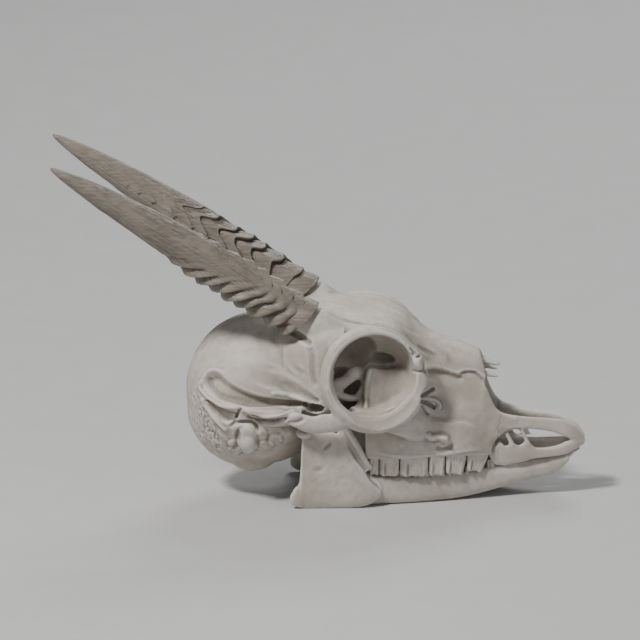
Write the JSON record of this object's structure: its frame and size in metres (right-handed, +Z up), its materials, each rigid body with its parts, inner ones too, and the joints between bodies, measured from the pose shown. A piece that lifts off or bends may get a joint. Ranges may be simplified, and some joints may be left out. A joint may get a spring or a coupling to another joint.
{
  "type": "dik-dik skull",
  "caption": "Small antelope skull with straight ringed horns, large round eye sockets, cheek teeth and a lower jaw whose edge it rests on.",
  "frame": {"origin": "on the floor, below the middle of the whole object's length and width", "axes": "+X to the tip of the snout, +Y to the animal's left, +Z up"},
  "size_m": [0.1509, 0.0518, 0.0989],
  "materials": {
    "bone": "dry, matt bone with a faint sheen on the teeth",
    "horn": "grey-brown horn with a dull sheen"
  },
  "bodies": {
    "root": {"braincase": "bone", "face": "bone", "nasals": "bone", "premaxilla_right": "bone", "premaxilla_left": "bone", "mandible_right": "bone", "mandible_left": "bone", "horn_right": "horn", "horn_left": "horn"}
  },
  "joints": []
}
